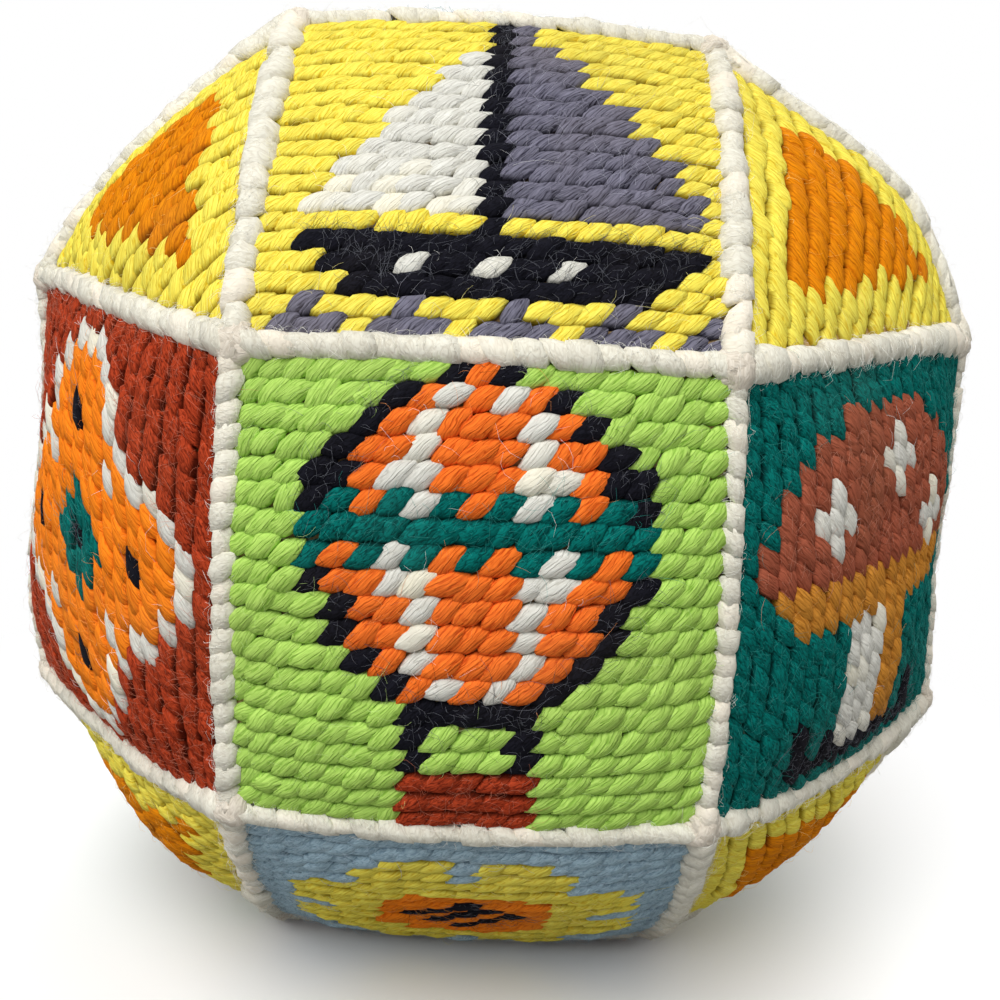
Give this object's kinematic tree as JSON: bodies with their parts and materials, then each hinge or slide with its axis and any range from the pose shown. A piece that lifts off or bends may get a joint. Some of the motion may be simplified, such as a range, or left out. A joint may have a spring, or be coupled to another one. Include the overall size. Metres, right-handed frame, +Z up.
{
  "type": "needlepoint ball",
  "caption": "Stuffed needlepoint ball of square and triangular wool-stitched canvas panels, joined by cream overcast yarn seams and resting on one flattened panel.",
  "frame": {"origin": "on the floor, under the middle of the ball, in the middle of the bottom panel's flat", "axes": "+Z up, -Y towards the viewer through the front panel, +X to the viewer's right"},
  "size_m": [0.1888, 0.1888, 0.1873],
  "materials": {
    "lime_wool": "matte",
    "yellow_wool": "matte",
    "rust_wool": "matte",
    "teal_wool": "matte",
    "sky_wool": "matte",
    "cream_yarn": "matte",
    "fibrefill": "matte"
  },
  "bodies": {
    "root": {"top_panel": "teal_wool", "bottom_panel": "rust_wool", "front_panel": "lime_wool", "back_panel": "lime_wool", "left_panel": "teal_wool", "right_panel": "rust_wool", "front_left_panel": "rust_wool", "front_right_panel": "teal_wool", "back_left_panel": "yellow_wool", "back_right_panel": "sky_wool", "upper_front_panel": "yellow_wool", "upper_back_panel": "sky_wool", "upper_left_panel": "sky_wool", "upper_right_panel": "lime_wool", "lower_front_panel": "sky_wool", "lower_back_panel": "yellow_wool", "lower_left_panel": "lime_wool", "lower_right_panel": "yellow_wool", "upper_front_left_triangle": "yellow_wool", "upper_front_right_triangle": "yellow_wool", "upper_back_left_triangle": "yellow_wool", "upper_back_right_triangle": "yellow_wool", "lower_front_left_triangle": "yellow_wool", "lower_front_right_triangle": "yellow_wool", "lower_back_left_triangle": "yellow_wool", "lower_back_right_triangle": "yellow_wool", "front_to_upper_front_seam": "cream_yarn", "front_to_lower_front_seam": "cream_yarn", "front_to_front_left_seam": "cream_yarn", "front_to_front_right_seam": "cream_yarn", "back_to_upper_back_seam": "cream_yarn", "back_to_lower_back_seam": "cream_yarn", "back_to_back_left_seam": "cream_yarn", "back_to_back_right_seam": "cream_yarn", "left_to_upper_left_seam": "cream_yarn", "left_to_lower_left_seam": "cream_yarn", "left_to_front_left_seam": "cream_yarn", "left_to_back_left_seam": "cream_yarn", "right_to_upper_right_seam": "cream_yarn", "right_to_lower_right_seam": "cream_yarn", "right_to_front_right_seam": "cream_yarn", "right_to_back_right_seam": "cream_yarn", "top_to_upper_front_seam": "cream_yarn", "top_to_upper_back_seam": "cream_yarn", "top_to_upper_left_seam": "cream_yarn", "top_to_upper_right_seam": "cream_yarn", "bottom_to_lower_front_seam": "cream_yarn", "bottom_to_lower_back_seam": "cream_yarn", "bottom_to_lower_left_seam": "cream_yarn", "bottom_to_lower_right_seam": "cream_yarn", "upper_front_left_triangle_seam": "cream_yarn", "upper_front_right_triangle_seam": "cream_yarn", "upper_back_left_triangle_seam": "cream_yarn", "upper_back_right_triangle_seam": "cream_yarn", "lower_front_left_triangle_seam": "cream_yarn", "lower_front_right_triangle_seam": "cream_yarn", "lower_back_left_triangle_seam": "cream_yarn", "lower_back_right_triangle_seam": "cream_yarn", "stuffing_core": "fibrefill"}
  },
  "joints": []
}
